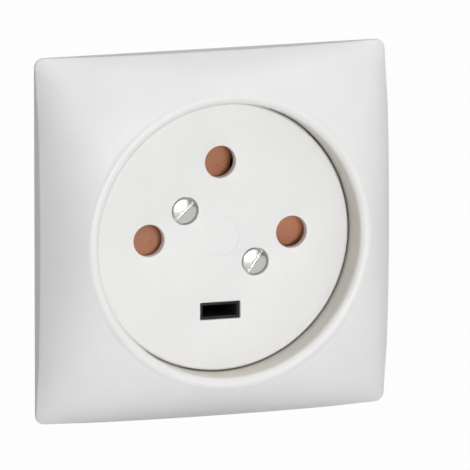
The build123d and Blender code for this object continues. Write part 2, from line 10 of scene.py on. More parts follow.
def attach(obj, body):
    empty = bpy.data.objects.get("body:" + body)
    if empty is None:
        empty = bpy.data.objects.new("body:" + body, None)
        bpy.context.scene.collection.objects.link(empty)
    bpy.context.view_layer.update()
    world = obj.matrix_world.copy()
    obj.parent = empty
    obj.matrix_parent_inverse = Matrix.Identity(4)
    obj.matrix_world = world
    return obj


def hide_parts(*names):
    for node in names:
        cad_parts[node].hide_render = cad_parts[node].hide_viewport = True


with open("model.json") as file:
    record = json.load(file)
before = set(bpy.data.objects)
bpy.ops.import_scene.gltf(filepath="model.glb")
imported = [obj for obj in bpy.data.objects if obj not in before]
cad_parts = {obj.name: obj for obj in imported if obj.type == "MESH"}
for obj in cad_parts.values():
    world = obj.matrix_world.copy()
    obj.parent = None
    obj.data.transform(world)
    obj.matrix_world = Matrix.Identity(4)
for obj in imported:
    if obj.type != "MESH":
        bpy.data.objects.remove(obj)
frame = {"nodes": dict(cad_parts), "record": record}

bl_info = {
    "name": "Wall socket looks",
    "version": (1, 0, 0),
    "blender": (4, 5, 0),
    "location": "View3D > Sidebar > Wall socket",
    "description": "Builds the visible surfaces, materials and studio of a flush wall socket",
    "category": "Add Mesh",
}

# Millimetres to metres
MM = 0.001
# Directions of the pin holes about the axis, in degrees from +X toward +Z
PIN_ANGLES = {"left": 180.0, "top": 90.0, "right": 0.0}
# Side of each face screw, -1 for the left one, and the angle of its driver slot in degrees
FACE_SCREWS = {"face_screw_upper": (-1, 42.0), "face_screw_lower": (1, 55.0)}
# Edges sharper than these angles stay creased, in degrees
CREASES = {"plate": 32, "disc": 28, "screw": 30, "refined": 42}

# How far cutters reach past a surface, in millimetres like all the lengths down to the finishes
OVERSHOOT = 1.0
# Each leg of the plate's edge rounding as a share of its size, and the way from edge to rim
EDGE_LEG = 0.8
EDGE_TO_RIM = 18
# Ribs behind the plate: number, angle of the first in degrees, rows along a rib, and how far it
# reaches into the well's wall, outward and up into the shell, and at its outer end
RIB_COUNT = 8
FIRST_RIB = 22.5
RIB_ROWS = 12
RIB_ROOT = 0.6
RIB_SUNK = 0.5
RIB_RAISED = 0.3
RIB_TOE = 0.4
# Disc: corners of the earth slot, lip of the screw recesses, hole for a screw's shank
SLOT_CORNER = 0.3
RECESS_LIP = 0.15
SHANK_HOLE = 1.6
# Disc: how much narrower the central field is at its floor, and how far its cutter stands out
FIELD_SLOPE = 0.1
FIELD_MARGIN = 0.05
# Face screws: chamfer of the tip, rounding of the head, inset of its dome, widening of the slot
TIP_CHAMFER = 0.3
HEAD_EDGE = 0.25
DOME_INSET = 0.2
DOME_STEPS = 9
SLOT_FLARE = 0.12
# Marks on the shutter: how far they are sunk in, and places measured from their pin's axis
MARK_SUNK = 0.15
RIDGE_UP = -1.5
RIDGE_LOW_END = (-1.7, -1.2)
RIDGE_REST = (-0.8, 0.0, 0.7, 1.4)
# Pips: pin, place across and up, distance toward the window, share of the pip radius
PIPS = (
    ("top", -1.25, -1.4, -1.25, 1.0),
    ("top", 0.9, -1.4, 0.9, 1.0),
    ("left", 1.58, -0.93, -0.93, 1.6),
    ("right", 1.04, -2.16, 2.16, 0.7),
)

# Finishes by name: colour and roughness, then what differs from the defaults of make_material
WHITE = dict(colour=(0.82, 0.82, 0.815), roughness=0.42, change=0.012, grain=1500.0, bump=0.03)
FINISHES = {
    "white_plastic": WHITE,
    "disc_plastic": WHITE,
    "shutter_plastic": dict(colour=(0.48, 0.21, 0.12), roughness=0.5, change=0.06, bump=0.06, gloss=0.2),
    "black_plastic": dict(colour=(0.008, 0.007, 0.007), roughness=0.5, change=0.1, bump=0.06, gloss=0.3),
    "screw_steel": dict(colour=(0.9, 0.89, 0.86), roughness=0.2, metallic=1.0, change=0.04, bump=0.04),
    "zinc_steel": dict(colour=(0.66, 0.66, 0.64), roughness=0.34, metallic=1.0, change=0.05, bump=0.05),
    "spring_steel": dict(colour=(0.5, 0.5, 0.51), roughness=0.3, metallic=1.0, change=0.05, bump=0.04),
    "contact_brass": dict(colour=(0.78, 0.57, 0.26), roughness=0.3, metallic=1.0, change=0.06, bump=0.04),
}
# Painted shade on the well's wall: the darker, warmer colour it is multiplied by, and where it starts to
# fade and ends beyond the well's radius, in mm
WELL_SHADE_COLOUR = (0.84, 0.80, 0.73, 1.0)
WELL_SHADE_FADE = (0.02, 0.5)

# Studio: lights as name, place in metres, side and power in watts
LIGHTS = (
    ("key light", (0.9, -0.5, 2.2), 0.8, 7.0),
    ("front card", (0.4, -2.5, 0.35), 1.5, 6.7),
    ("low light", (0.0, -1.6, -0.04), 0.6, 22.0),
)
SKY_STRENGTH = 0.82
# Colour of floor and backdrop as the socket sees it, and as the camera sees it
STAGE_COLOUR = (0.8, 0.8, 0.8, 1.0)
BACKGROUND_COLOUR = (0.985, 0.985, 0.985, 1.0)
# Half of the floor's side, and the backdrop's distance and height, in metres
ROOM_HALF = 6
BACKDROP_DISTANCE = 5.9
BACKDROP_HEIGHT = 8


def length(name, description, default):
    """A length property in millimetres."""
    return FloatProperty(name=name, description=description, default=default, min=0.0, precision=3)


class PlateSettings(bpy.types.PropertyGroup):
    """Sizes of the cover plate, in millimetres"""

    half_side: length("Half side", "Half of the plate's side", 40.0)
    corner: length("Corner radius", "Radius of the plate's corners in front view", 2.0)
    edge: length("Edge rounding", "Size of the rounding along the arched edges", 0.35)
    overhang: length("Overhang", "How far the surface would reach past the sides at the wall", 1.9)
    skirt_radius: length("Skirt bow radius", "Bow radius of the outline at the wall", 580.0)
    skirt_corner: length("Skirt corner radius", "Corner radius of the outline at the wall", 3.0)
    waist_half: length("Waist half side", "Half side of the middle outline", 37.3)
    waist_radius: length("Waist bow radius", "Bow radius of the middle outline", 180.0)
    waist_corner: length("Waist corner radius", "Corner radius of the middle outline", 15.2)
    waist_height: length("Waist height", "Height of the middle outline above the wall", 8.0)
    well: length("Well radius", "Radius of the well's wall", 29.75)
    rim: length("Rim rounding", "Radius of the rim's round crest", 1.6)
    crest: length("Crest height", "Height of the rim's crest above the wall", 13.7)
    slope: FloatProperty(
        name="Outer slope",
        description="Angle at which the rim meets the surface",
        default=0.733,
        subtype="ANGLE",
    )
    wall: length("Wall", "Wall thickness of the moulding", 2.1)
    tube: length("Well wall", "Wall thickness of the well", 1.8)
    ledge: length("Ledge radius", "Inner radius of the ledge under the disc", 24.4)
    ledge_front: length("Ledge front height", "Height of the ledge's front", 3.4)
    ledge_back: length("Ledge back height", "Height of the ledge's back", 1.9)
    notch: length("Notch half width", "Half width of the notches for the box screws", 4.5)
    rib: length("Rib thickness", "Thickness of the ribs", 1.2)
    rib_back: length("Rib back height", "Height of the ribs' back edges", 1.55)
    around: IntProperty(
        name="Points per octant", description="Points in an eighth of an outline", default=84, min=8
    )
    across: IntProperty(
        name="Rows", description="Rows between the edge and the rim", default=40, min=4
    )


class DiscSettings(bpy.types.PropertyGroup):
    """Sizes of the front disc, in millimetres"""

    radius: length("Radius", "Radius of the disc", 29.4)
    front: length("Front height", "Height of the disc's face", 6.9)
    back: length("Back height", "Height of the disc's back", 3.4)
    edge: length("Edge rounding", "Rounding of the disc's edge", 0.7)
    circle: length("Pin circle radius", "Distance of the pins from the axis", 16.3)
    pin: length("Pin hole radius", "Radius of a pin hole", 3.5)
    slot_width: length("Earth slot width", "Width of the earth slot", 9.2)
    slot_height: length("Earth slot height", "Height of the earth slot", 3.8)
    lip: length("Lip rounding", "Rounding of the hole edges", 0.22)
    land: length("Land", "Depth of the narrow part of a pin hole", 1.8)
    relief: length("Relief", "How much wider a pin hole is behind its land", 1.0)
    medallion: length("Medallion radius", "Radius of the shallow field at the centre", 4.3)
    medallion_depth: length("Medallion depth", "Depth of the shallow field", 0.12)


class ScrewSettings(bpy.types.PropertyGroup):
    """Sizes of the face screws, in millimetres"""

    across: length("Distance across", "Distance of a screw from the axis along X", 8.0)
    along: length("Distance along", "Distance of a screw from the axis along Z", 6.0)
    shank: length("Shank radius", "Radius of the shank", 1.5)
    head: length("Head radius", "Radius of the head", 2.75)
    seat: length("Seat height", "Height of the head's seat", 4.8)
    head_height: length("Head height", "Height of the head's rim", 1.7)
    dome: length("Dome", "Height of the dome above the rim", 0.3)
    tip: length("Tip height", "Height of the tip, below zero in the wall", 3.7)
    slot: length("Slot width", "Width of the driver slot", 0.6)
    slot_depth: length("Slot depth", "Depth of the driver slot below the rim", 0.9)
    recess: length("Recess radius", "Radius of the recess in the disc", 3.075)
    recess_depth: length("Recess depth", "Depth of the recess in the disc", 2.1)


class ShutterSettings(bpy.types.PropertyGroup):
    """Sizes of the ridge and the pips on the shutter, in millimetres"""

    front: length("Front height", "Height of the shutter's front", 3.3)
    ridge: length("Ridge width", "Width of the ridge", 0.4)
    rise: length("Rise", "How far the ridge stands out", 0.12)
    pip: length("Pip radius", "Radius of the small round marks", 0.3)
    room: length("Room", "How far a mark may reach beyond the shutter's front", 0.07)
    crest: length("Crest offset", "Distance from a pin's axis to the crest of its ramp", 1.2)
    fall: FloatProperty(name="Ramp fall", description="Slope of the ramps", default=0.277)


class StudioSettings(bpy.types.PropertyGroup):
    """Camera and light"""

    azimuth: FloatProperty(name="Azimuth", description="Camera turn to the left, degrees", default=19.53)
    elevation: FloatProperty(name="Elevation", description="Camera height angle, degrees", default=10.45)
    distance: FloatProperty(name="Distance", description="Camera distance", default=2.408, unit="LENGTH")
    lens: FloatProperty(name="Lens", description="Focal length in millimetres", default=853.3)
    shift_x: FloatProperty(name="Shift across", description="Sideways shift of the picture", default=0.0536)
    shift_y: FloatProperty(name="Shift up", description="Upward shift of the picture", default=-0.0087)
    floor: length("Floor depth", "Distance of the floor below the axis", 46.0)


def place(x, height, z):
    """Point in metres from X, height above the wall and Z in millimetres."""
    return Vector((x, -height, z)) * MM


def new_object(name, mesh):
    """Object for a mesh, linked to the scene."""
    made = bpy.data.objects.new(name, mesh)
    bpy.context.scene.collection.objects.link(made)
    return made


def mesh_from(name, points, faces):
    """Object from points in metres and faces, with its normals made to point outward."""
    mesh = bpy.data.meshes.new(name)
    mesh.from_pydata(points, [], faces)
    mesh.validate()
    shape = bmesh.new()
    shape.from_mesh(mesh)
    bmesh.ops.remove_doubles(shape, verts=shape.verts, dist=1e-7)
    bmesh.ops.recalc_face_normals(shape, faces=shape.faces)
    shape.to_mesh(mesh)
    shape.free()
    return new_object(name, mesh)


def skin(name, rings, looped=False):
    """Object from closed rings of equal length.

    looped joins the last ring to the first, otherwise the ends are capped.
    """
    count = len(rings[0])
    points = [point for ring in rings for point in ring]
    faces = []
    pairs = [(row, row + 1) for row in range(len(rings) - 1)]
    if looped:
        pairs.append((len(rings) - 1, 0))
    for low, high in pairs:
        for here in range(count):
            after = (here + 1) % count
            faces.append(
                (low * count + here, low * count + after, high * count + after, high * count + here)
            )
    if not looped:
        faces.append(tuple(range(count)))
        faces.append(tuple((len(rings) - 1) * count + here for here in range(count)))
    return mesh_from(name, points, faces)


def turned(name, profile, x=0.0, z=0.0, segments=96):
    """Object turned about an axis square to the wall. The profile is a list of (radius, height)."""
    rings = []
    for radius, height in profile:
        ring = []
        for step in range(segments):
            angle = 2 * math.pi * step / segments
            ring.append(place(x + radius * math.cos(angle), height, z + radius * math.sin(angle)))
        rings.append(ring)
    return skin(name, rings)


def quarter(radius, height, size, start, end, steps=6):
    """Points (radius, height) on an arc round a centre, with its angles in degrees."""
    found = []
    for step in range(steps + 1):
        angle = math.radians(start + (end - start) * step / steps)
        found.append((radius + size * math.cos(angle), height + size * math.sin(angle)))
    return found


def rounded_outline(half_width, half_height, radius, steps=6):
    """Corner-rounded rectangle as a list of (across, up) about its centre."""
    found = []
    for corner, (side_x, side_z) in enumerate(((1, 1), (-1, 1), (-1, -1), (1, -1))):
        for step in range(steps + 1):
            angle = math.radians(90 * corner + 90 * step / steps)
            across = side_x * (half_width - radius) + radius * math.cos(angle)
            up = side_z * (half_height - radius) + radius * math.sin(angle)
            found.append((across, up))
    return found


def prism(name, outlines, x=0.0, z=0.0, turn=0.0):
    """Object through outlines given as (height, list of (across, up)), turned about its centre."""
    cosine, sine = math.cos(math.radians(turn)), math.sin(math.radians(turn))
    rings = []
    for height, outline in outlines:
        ring = []
        for across, up in outline:
            ring.append(place(x + across * cosine - up * sine, height, z + across * sine + up * cosine))
        rings.append(ring)
    return skin(name, rings)


def cut(target, cutters):
    """Cuts objects out of a target and removes them."""
    for cutter in cutters:
        step = target.modifiers.new("cut", "BOOLEAN")
        step.operation = "DIFFERENCE"
        step.solver = "EXACT"
        step.object = cutter
        bake(target)
        bpy.data.objects.remove(cutter)


def bake(target):
    """Applies the modifiers of an object to its mesh."""
    graph = bpy.context.evaluated_depsgraph_get()
    mesh = bpy.data.meshes.new_from_object(target.evaluated_get(graph))
    target.modifiers.clear()
    target.data = mesh


def smooth(target, angle=30.0):
    """Smooth shading with creases at edges sharper than the angle."""
    shape = bmesh.new()
    shape.from_mesh(target.data)
    for face in shape.faces:
        face.smooth = True
    limit = math.radians(angle)
    for edge in shape.edges:
        edge.smooth = len(edge.link_faces) == 2 and edge.calc_face_angle(0.0) < limit
    shape.to_mesh(target.data)
    shape.free()


def fold(angle):
    """Angle to the middle of the nearest side of a square."""
    return abs((angle + math.pi / 4) % (math.pi / 2) - math.pi / 4)


def corner_arc(folded, corner, corner_radius):
    """Polar radius on the arc whose centre is at the same distance, corner, along both sides."""
    toward = corner * (math.cos(folded) + math.sin(folded))
    return toward + math.sqrt(max(toward**2 - 2 * corner**2 + corner_radius**2, 0.0))


def soft_radius(angle, half_side, side_radius, corner_radius):
    """Polar radius of a square with bowed sides and rounded corners."""
    folded = fold(angle)
    setback = side_radius - half_side
    corner = (math.sqrt(2 * (side_radius - corner_radius) ** 2 - setback**2) - setback) / 2
    tangent = math.atan2(corner, corner + setback)
    split = math.atan2(side_radius * math.sin(tangent), side_radius * math.cos(tangent) - setback)
    if folded < split:
        across = math.cos(folded) * setback
        return -across + math.sqrt(across**2 + side_radius**2 - setback**2)
    return corner_arc(folded, corner, corner_radius)


def square_radius(angle, half_side, corner_radius):
    """Polar radius of a square with rounded corners."""
    folded = fold(angle)
    corner = half_side - corner_radius
    if math.tan(folded) * half_side < corner:
        return half_side / math.cos(folded)
    return corner_arc(folded, corner, corner_radius)


def blend(values, place_between):
    """Value of the parabola through three values at 0, a half and 1."""
    first = 2 * (place_between - 0.5) * (place_between - 1)
    middle = -4 * place_between * (place_between - 1)
    last = 2 * place_between * (place_between - 0.5)
    return values[0] * first + values[1] * middle + values[2] * last


def octant_angles(count):
    """Angles all the way round, closer together toward the four corners."""
    eighth = [math.pi / 4 * (1 - (1 - step / count) ** 1.5) for step in range(count)]
    found = []
    for quarter_turn in range(4):
        base = quarter_turn * math.pi / 2
        found += [base + angle for angle in eighth]
        found += [base + math.pi / 2 - angle for angle in [math.pi / 4] + eighth[:0:-1]]
    return found


class PlateShape:
    """The cover plate's surfaces in polar form."""

    def __init__(self, sizes):
        self.sizes = sizes
        self.center = sizes.well + sizes.rim
        self.center_height = sizes.crest - sizes.rim
        self.foot = self.center + sizes.rim * math.sin(sizes.slope)
        self.foot_height = self.center_height + sizes.rim * math.cos(sizes.slope)
        self.tube_outer = sizes.well + sizes.tube

    def outside(self, angle, way):
        """(radius, height) on the outer surface, from the wall at 0 to the rim's foot at 1."""
        sizes = self.sizes
        radii = (
            soft_radius(angle, sizes.half_side + sizes.overhang, sizes.skirt_radius, sizes.skirt_corner),
            soft_radius(angle, sizes.waist_half, sizes.waist_radius, sizes.waist_corner),
            self.foot,
        )
        return blend(radii, way), blend((0.0, sizes.waist_height, self.foot_height), way)

    def inside(self, angle, way):
        """(radius, height) on the hollow's surface, from the wall at 0 to the well's wall at 1."""
        sizes = self.sizes
        radii = (
            soft_radius(angle, sizes.half_side - sizes.wall, sizes.skirt_radius, sizes.skirt_corner),
            soft_radius(angle, sizes.waist_half - sizes.wall, sizes.waist_radius, sizes.waist_corner),
            self.tube_outer,
        )
        heights = (0.0, sizes.waist_height - sizes.wall, self.foot_height - sizes.wall)
        return blend(radii, way), blend(heights, way)

    def edge_way(self, angle):
        """Where the outer surface meets the plate's upright side."""
        side = square_radius(angle, self.sizes.half_side, self.sizes.corner)
        low, high = 0.0, 0.6
        for _ in range(30):
            middle = (low + high) / 2
            if self.outside(angle, middle)[0] > side:
                low = middle
            else:
                high = middle
        return low

    def column(self, angle):
        """Points (radius, height) round the section at an angle, starting at the wall outside."""
        sizes = self.sizes
        side = square_radius(angle, sizes.half_side, sizes.corner)
        way = self.edge_way(angle)
        edge_height = self.outside(angle, way)[1]
        leg = sizes.edge * EDGE_LEG
        low = edge_height - leg
        found = [(side, 0.0), (side, low / 3), (side, low * 2 / 3), (side, low)]
        start = way + leg / EDGE_TO_RIM
        begin, end = (side, low), self.outside(angle, start)
        for step in (0.2, 0.4, 0.6, 0.8):
            rest = 1 - step
            radius = rest**2 * begin[0] + 2 * rest * step * side + step**2 * end[0]
            height = rest**2 * begin[1] + 2 * rest * step * edge_height + step**2 * end[1]
            found.append((radius, height))
        for row in range(sizes.across):
            found.append(self.outside(angle, start + (1 - start) * row / sizes.across))
        rim_start = 90 - math.degrees(sizes.slope)
        found += quarter(self.center, self.center_height, sizes.rim, rim_start, 180, steps=20)
        aside = sizes.well * min(abs(math.sin(angle)), abs(math.cos(angle)))
        open_here = aside < sizes.notch
        front, back = sizes.ledge_front, sizes.ledge_back
        if open_here:
            ledge, back = sizes.well + sizes.tube / 3, front
        else:
            ledge = sizes.ledge
        middle = (front + self.center_height) / 2
        found += [(sizes.well, middle), (sizes.well, front), (ledge, front), (ledge, back)]
        found += [((ledge + self.tube_outer) / 2, back), (self.tube_outer, back)]
        rows = sizes.across // 2
        for row in range(rows + 1):
            found.append(self.inside(angle, 1 - row / rows))
        return found


def build_plate(sizes):
    """Cover plate with its hollow back and ribs."""
    plate = PlateShape(sizes)
    angles = octant_angles(sizes.around)
    columns = [plate.column(angle) for angle in angles]
    rings = []
    for row in range(len(columns[0])):
        ring = []
        for angle, column in zip(angles, columns):
            radius, height = column[row]
            ring.append(place(radius * math.cos(angle), height, radius * math.sin(angle)))
        rings.append(ring)
    body = skin("cover_plate_moulding", rings, looped=True)
    ribs = [body]
    for number in range(RIB_COUNT):
        angle = math.radians(FIRST_RIB + 360 / RIB_COUNT * number)
        root = plate.tube_outer - RIB_ROOT
        profile = [(root, sizes.rib_back)]
        for row in range(RIB_ROWS + 1):
            radius, height = plate.inside(angle, row / RIB_ROWS)
            if height > sizes.rib_back:
                profile.append((radius + RIB_SUNK, height + RIB_RAISED))
        profile.insert(1, (profile[1][0] + RIB_TOE, sizes.rib_back))
        profile.append((root, profile[-1][1]))
        outward = Vector((math.cos(angle), 0, math.sin(angle)))
        aside = Vector((-math.sin(angle), 0, math.cos(angle))) * (sizes.rib / 2 * MM)
        rings = []
        for way in (-1, 1):
            middle = [outward * radius * MM + place(0, height, 0) for radius, height in profile]
            rings.append([point + aside * way for point in middle])
        ribs.append(skin("rib", rings))
    body = join(ribs, "cover_plate_moulding")
    smooth(body, CREASES["plate"])
    return body


def join(objects, name):
    """Joins objects into the first one, with all their faces kept."""
    target = bmesh.new()
    for piece in objects:
        target.from_mesh(piece.data)
    mesh = bpy.data.meshes.new(name)
    target.to_mesh(mesh)
    target.free()
    for piece in objects:
        bpy.data.objects.remove(piece)
    return new_object(name, mesh)


def on_circle(radius, degrees):
    """X and Z of a point at an angle round the axis."""
    return radius * math.cos(math.radians(degrees)), radius * math.sin(math.radians(degrees))


def flared_hole(name, radius, front, back, lip, x, z, land=0.0, relief=0.0):
    """Cutter for a round hole with a rounded lip, and wider by the relief behind its land."""
    arc = quarter(radius + lip, front - lip, lip, 180, 90, steps=5)
    profile = [(radius, back)]
    if land:
        deep = front - land
        profile = [(radius + relief, back), (radius + relief, deep), (radius, deep)]
    profile += arc + [(radius + lip, front + OVERSHOOT)]
    return turned(name, profile, x, z)


def build_disc(sizes, screws):
    """Front disc with its holes, slot and recesses."""
    edge = quarter(sizes.radius - sizes.edge, sizes.front - sizes.edge, sizes.edge, 0, 90, steps=8)
    disc = turned("front_disc_moulding", [(sizes.radius, sizes.back)] + edge, segments=240)
    back = sizes.back - OVERSHOOT
    cutters = []
    for name, angle in PIN_ANGLES.items():
        x, z = on_circle(sizes.circle, angle)
        cutters.append(
            flared_hole(name, sizes.pin, sizes.front, back, sizes.lip, x, z, sizes.land, sizes.relief)
        )
    half_width, half_height = sizes.slot_width / 2, sizes.slot_height / 2

    def widened(spread):
        return rounded_outline(half_width + spread, half_height + spread, SLOT_CORNER + spread)

    outlines = [(back, widened(0.0))]
    for spread, height in quarter(sizes.lip, sizes.front - sizes.lip, sizes.lip, 180, 90, steps=5):
        outlines.append((height, widened(spread)))
    outlines.append((sizes.front + OVERSHOOT, widened(sizes.lip)))
    cutters.append(prism("slot", outlines, 0.0, -sizes.circle))
    for side in (-1, 1):
        x, z = side * screws.across, -side * screws.along
        floor = sizes.front - screws.recess_depth
        cutters.append(flared_hole("recess", screws.recess, sizes.front, floor, RECESS_LIP, x, z))
        through = [(SHANK_HOLE, back), (SHANK_HOLE, floor + OVERSHOOT / 2)]
        cutters.append(turned("through", through, x, z))
    floor = sizes.front - sizes.medallion_depth
    field = [(sizes.medallion - FIELD_SLOPE, floor)]
    field.append((sizes.medallion + FIELD_MARGIN, sizes.front + FIELD_MARGIN))
    cutters.append(turned("field", field))
    cut(disc, cutters)
    smooth(disc, CREASES["disc"])
    return disc


def build_screw(name, sizes, side, slot_angle):
    """Slotted screw with a rounded head, side is -1 for the left one."""
    x, z = side * sizes.across, -side * sizes.along
    top = sizes.seat + sizes.head_height
    profile = [(sizes.shank - TIP_CHAMFER, -sizes.tip), (sizes.shank, -sizes.tip + TIP_CHAMFER)]
    profile += [(sizes.shank, sizes.seat), (sizes.head, sizes.seat)]
    profile += quarter(sizes.head - HEAD_EDGE, top - HEAD_EDGE, HEAD_EDGE, 0, 70, steps=4)
    for step in range(1, DOME_STEPS):
        share = 1 - step / DOME_STEPS
        profile.append(((sizes.head - DOME_INSET) * share, top + sizes.dome * (1 - share**2)))
    head = turned(name + "_turned", profile, x, z)
    reach = sizes.head * 1.5
    narrow = rounded_outline(reach, sizes.slot / 2, 0.01, steps=1)
    wide = rounded_outline(reach, sizes.slot / 2 + SLOT_FLARE, 0.01, steps=1)
    levels = [(top - sizes.slot_depth, narrow), (top + 0.02, narrow), (top + sizes.dome + 0.2, wide)]
    cut(head, [prism("driver slot", levels, x, z, slot_angle)])
    smooth(head, CREASES["screw"])
    return head


def refined(node, width=0.12):
    """Copy of a node of the frame with flat faces merged and fine bevels on its edges."""
    source = frame["nodes"][node]
    mesh = source.data.copy()
    made = new_object(node + "_finished", mesh)
    shape = bmesh.new()
    shape.from_mesh(mesh)
    bmesh.ops.remove_doubles(shape, verts=shape.verts, dist=2e-6)
    bmesh.ops.dissolve_limit(
        shape,
        angle_limit=math.radians(1.0),
        use_dissolve_boundaries=False,
        verts=shape.verts,
        edges=shape.edges,
    )
    shape.to_mesh(mesh)
    shape.free()
    bevel = made.modifiers.new("bevel", "BEVEL")
    bevel.width = width * MM
    bevel.segments = 2
    bevel.limit_method = "ANGLE"
    bevel.angle_limit = math.radians(40)
    bevel.use_clamp_overlap = True
    bake(made)
    smooth(made, CREASES["refined"])
    return made


def ridge(name, spots, width, rise):
    """Low rounded ridge through spots given as (x, height, z), for a surface that faces the room."""
    start, end = place(*spots[0]), place(*spots[-1])
    aside = (end - start).cross(Vector((0, 1, 0))).normalized()
    shoulder = rise * 0.8
    section = ((-0.5, -MARK_SUNK), (-0.5, 0.0), (-0.25, shoulder), (0.0, rise))
    section += ((0.25, shoulder), (0.5, 0.0), (0.5, -MARK_SUNK))
    rings = []
    for x, height, z in spots:
        rings.append([place(x, height + up, z) + aside * (across * width * MM) for across, up in section])
    return skin(name, rings)


def pip(name, x, height, z, radius, rise):
    """Small domed mark on a surface that faces the room."""
    profile = [(radius, height - MARK_SUNK), (radius, height)]
    for step in range(1, 5):
        share = step / 5
        profile.append((radius * math.sqrt(1 - share**2), height + rise * share))
    return turned(name, profile, x, z, 24)


def build_shutter_marks(sizes, circle):
    """Ridge and pips that show in the closed pin holes and stay clear of the disc."""
    pins = {"left": (-circle, 0.0), "top": (0.0, circle), "right": (circle, 0.0)}

    def height(toward_window):
        return sizes.front - max(toward_window + sizes.crest, 0.0) * sizes.fall

    up = circle + RIDGE_UP
    spots = [(x, height(x) + min(sizes.room - sizes.rise, 0.0), up) for x in RIDGE_LOW_END]
    spots += [(x, height(x), up) for x in RIDGE_REST]
    marks = [ridge("ridge_top", spots, sizes.ridge, sizes.rise)]
    for pin, across, above, toward_window, share in PIPS:
        x, z = pins[pin]
        base = height(toward_window)
        rise = min(2 * sizes.rise, sizes.front + sizes.room - base)
        marks.append(pip("pip_" + pin, x + across, base, z + above, share * sizes.pip, rise))
    return marks


def link(tree, source, output, target, socket):
    """Joins two sockets of a node tree."""
    tree.links.new(source.outputs[output], target.inputs[socket])


def make_material(
    name, colour, roughness, metallic=0.0, change=0.04, grain=900.0, bump=0.02, gloss=0.5
):
    """Procedural surface with small changes of colour and roughness and a fine relief."""
    material = bpy.data.materials.new(name)
    material.use_nodes = True
    tree = material.node_tree
    shader = tree.nodes["Principled BSDF"]
    shader.inputs["Metallic"].default_value = metallic
    shader.inputs["Specular IOR Level"].default_value = gloss
    where = tree.nodes.new("ShaderNodeTexCoord")
    broad = tree.nodes.new("ShaderNodeTexNoise")
    broad.inputs["Scale"].default_value = grain / 12
    broad.inputs["Detail"].default_value = 4.0
    fine = tree.nodes.new("ShaderNodeTexNoise")
    fine.inputs["Scale"].default_value = grain
    fine.inputs["Detail"].default_value = 3.0
    ramp = tree.nodes.new("ShaderNodeValToRGB")
    ramp.color_ramp.elements[0].position = 0.3
    ramp.color_ramp.elements[1].position = 0.7
    ramp.color_ramp.elements[0].color = [part * (1 - change) for part in colour] + [1.0]
    ramp.color_ramp.elements[1].color = [min(part * (1 + change), 1.0) for part in colour] + [1.0]
    spread = tree.nodes.new("ShaderNodeMapRange")
    spread.inputs["To Min"].default_value = roughness * 0.9
    spread.inputs["To Max"].default_value = min(roughness * 1.1, 1.0)
    relief = tree.nodes.new("ShaderNodeBump")
    relief.inputs["Strength"].default_value = bump
    relief.inputs["Distance"].default_value = 0.0001
    link(tree, where, "Object", broad, "Vector")
    link(tree, where, "Object", fine, "Vector")
    link(tree, broad, "Fac", ramp, "Fac")
    link(tree, ramp, "Color", shader, "Base Color")
    link(tree, fine, "Fac", spread, "Value")
    link(tree, spread, "Result", shader, "Roughness")
    link(tree, fine, "Fac", relief, "Height")
    link(tree, relief, "Normal", shader, "Normal")
    return material


def material(name):
    """The named finish, made when it is first asked for."""
    found = bpy.data.materials.get(name + "_finish")
    if found:
        return found
    return make_material(name + "_finish", **FINISHES[name])


def paint_well_shade(shader_material, radius):
    """Paints shade on the well's wall: makes it a little darker and warmer, by the distance from the axis.
    """
    tree = shader_material.node_tree
    shader = tree.nodes["Principled BSDF"]
    plain = shader.inputs["Base Color"].links[0].from_node
    where = tree.nodes.new("ShaderNodeTexCoord")
    flat = tree.nodes.new("ShaderNodeVectorMath")
    flat.operation = "MULTIPLY"
    flat.inputs[1].default_value = (1.0, 0.0, 1.0)
    distance = tree.nodes.new("ShaderNodeVectorMath")
    distance.operation = "LENGTH"
    # Mask of the painted shade: full at and inside the well's wall, fading out just beyond it
    share = tree.nodes.new("ShaderNodeMapRange")
    share.interpolation_type = "SMOOTHSTEP"
    share.inputs["From Min"].default_value = (radius + WELL_SHADE_FADE[0]) * MM
    share.inputs["From Max"].default_value = (radius + WELL_SHADE_FADE[1]) * MM
    share.inputs["To Min"].default_value = 1.0
    share.inputs["To Max"].default_value = 0.0
    # Multiplies the plain colour by the painted shade colour
    shade_mix = tree.nodes.new("ShaderNodeMixRGB")
    shade_mix.blend_type = "MULTIPLY"
    shade_mix.inputs["Color2"].default_value = WELL_SHADE_COLOUR
    link(tree, where, "Object", flat, 0)
    link(tree, flat, "Vector", distance, 0)
    link(tree, distance, "Value", share, "Value")
    link(tree, share, "Result", shade_mix, "Fac")
    link(tree, plain, "Color", shade_mix, "Color1")
    link(tree, shade_mix, "Color", shader, "Base Color")


def dress(piece, slot, body, *nodes, look=None):
    """Gives a piece its material and hangs it on its body in place of the frame's nodes."""
    piece.data.materials.clear()
    piece.data.materials.append(material(look or slot))
    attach(piece, body)
    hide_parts(*nodes)


class SOCKET_OT_cover_plate(bpy.types.Operator):
    """Build the cover plate with its arched edges, round rim, well and ribbed back"""

    bl_idname = "socket.cover_plate"
    bl_label = "Cover plate"

    def execute(self, context):
        sizes = context.scene.socket_plate
        dress(build_plate(sizes), "white_plastic", "socket", "cover_plate")
        # Painted shade on the well's wall, added to the white finish
        paint_well_shade(material("white_plastic"), sizes.well)
        return {"FINISHED"}


class SOCKET_OT_front_disc(bpy.types.Operator):
    """Build the front disc with pin holes, earth slot and screw recesses"""

    bl_idname = "socket.front_disc"
    bl_label = "Front disc"

    def execute(self, context):
        disc = build_disc(context.scene.socket_disc, context.scene.socket_screws)
        dress(disc, "white_plastic", "socket", "front_disc", look="disc_plastic")
        return {"FINISHED"}


class SOCKET_OT_face_screws(bpy.types.Operator):
    """Build the two slotted face screws"""

    bl_idname = "socket.face_screws"
    bl_label = "Face screws"

    def execute(self, context):
        sizes = context.scene.socket_screws
        for name, (side, angle) in FACE_SCREWS.items():
            screw = build_screw(name, sizes, side, angle)
            dress(screw, "zinc_steel", "socket", name, look="screw_steel")
        return {"FINISHED"}


